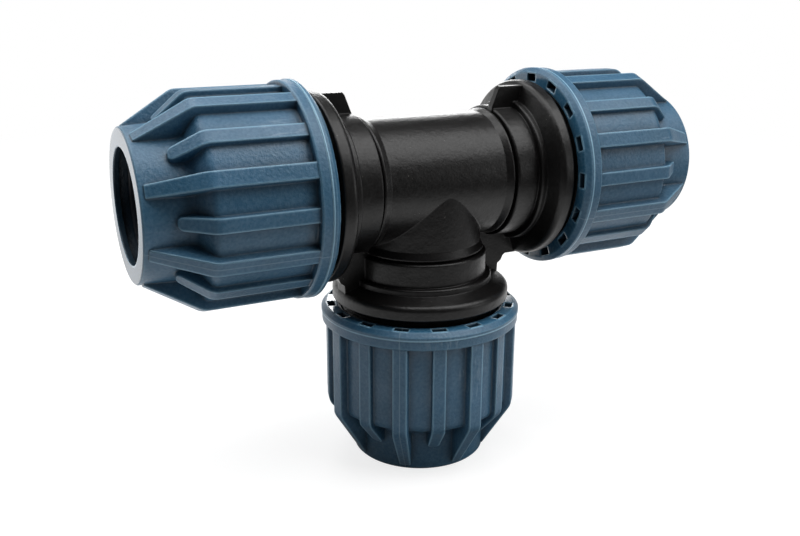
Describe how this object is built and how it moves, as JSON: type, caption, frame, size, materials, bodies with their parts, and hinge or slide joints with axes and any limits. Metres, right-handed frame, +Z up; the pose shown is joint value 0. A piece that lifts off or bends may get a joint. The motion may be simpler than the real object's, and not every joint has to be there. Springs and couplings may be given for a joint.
{
  "type": "compression tee",
  "caption": "Equal compression tee for plastic pipe: black moulded body, blue ribbed screw nuts, split grip rings, bushes and rubber seals.",
  "frame": {"origin": "centre of the branch mouth, in the plane that the fitting stands on", "axes": "+X along the run towards the right port, +Y away from the picture's viewer, +Z up from the branch to the run"},
  "size_m": [0.2268, 0.08, 0.1534],
  "materials": {
    "black_moulding": "black polypropylene, satin sheen",
    "blue_moulding": "grey-blue polypropylene, fine moulded grain",
    "grip_ring": "hard acetal, smooth",
    "bush": "black polypropylene, smooth",
    "seal": "nitrile rubber"
  },
  "bodies": {
    "tee": {"tee_body": "black_moulding", "left_bush": "bush", "left_seal": "seal", "right_bush": "bush", "right_seal": "seal", "branch_bush": "bush", "branch_seal": "seal"},
    "left_ring": {"left_grip_ring": "grip_ring"},
    "left_nut": {"left_nut": "blue_moulding"},
    "right_ring": {"right_grip_ring": "grip_ring"},
    "right_nut": {"right_nut": "blue_moulding"},
    "branch_ring": {"branch_grip_ring": "grip_ring"},
    "branch_nut": {"branch_nut": "blue_moulding"}
  },
  "joints": [
    {"name": "left_ring_slide", "type": "slide", "parent": "tee", "child": "left_ring", "axis": [-1, 0, 0], "range_m": [-0.0025, 0.0175]},
    {"name": "left_nut_turn", "type": "hinge", "parent": "left_ring", "child": "left_nut", "pos_m": [-0.09, 0, 0.1134], "axis": [-1, 0, 0], "range_deg": [-180, 1260]},
    {"name": "right_ring_slide", "type": "slide", "parent": "tee", "child": "right_ring", "axis": [1, 0, 0], "range_m": [-0.0025, 0.0175]},
    {"name": "right_nut_turn", "type": "hinge", "parent": "right_ring", "child": "right_nut", "pos_m": [0.09, 0, 0.1134], "axis": [1, 0, 0], "range_deg": [-180, 1260]},
    {"name": "branch_ring_slide", "type": "slide", "parent": "tee", "child": "branch_ring", "axis": [0, 0, -1], "range_m": [-0.0025, 0.0175]},
    {"name": "branch_nut_turn", "type": "hinge", "parent": "branch_ring", "child": "branch_nut", "pos_m": [0, 0, 0.0234], "axis": [0, 0, -1], "range_deg": [-180, 1260]}
  ],
  "couplings": [
    {"joint": "left_ring_slide", "follows": "left_nut_turn", "m_per_rad": 0.00079577},
    {"joint": "right_ring_slide", "follows": "right_nut_turn", "m_per_rad": 0.00079577},
    {"joint": "branch_ring_slide", "follows": "branch_nut_turn", "m_per_rad": 0.00079577}
  ]
}
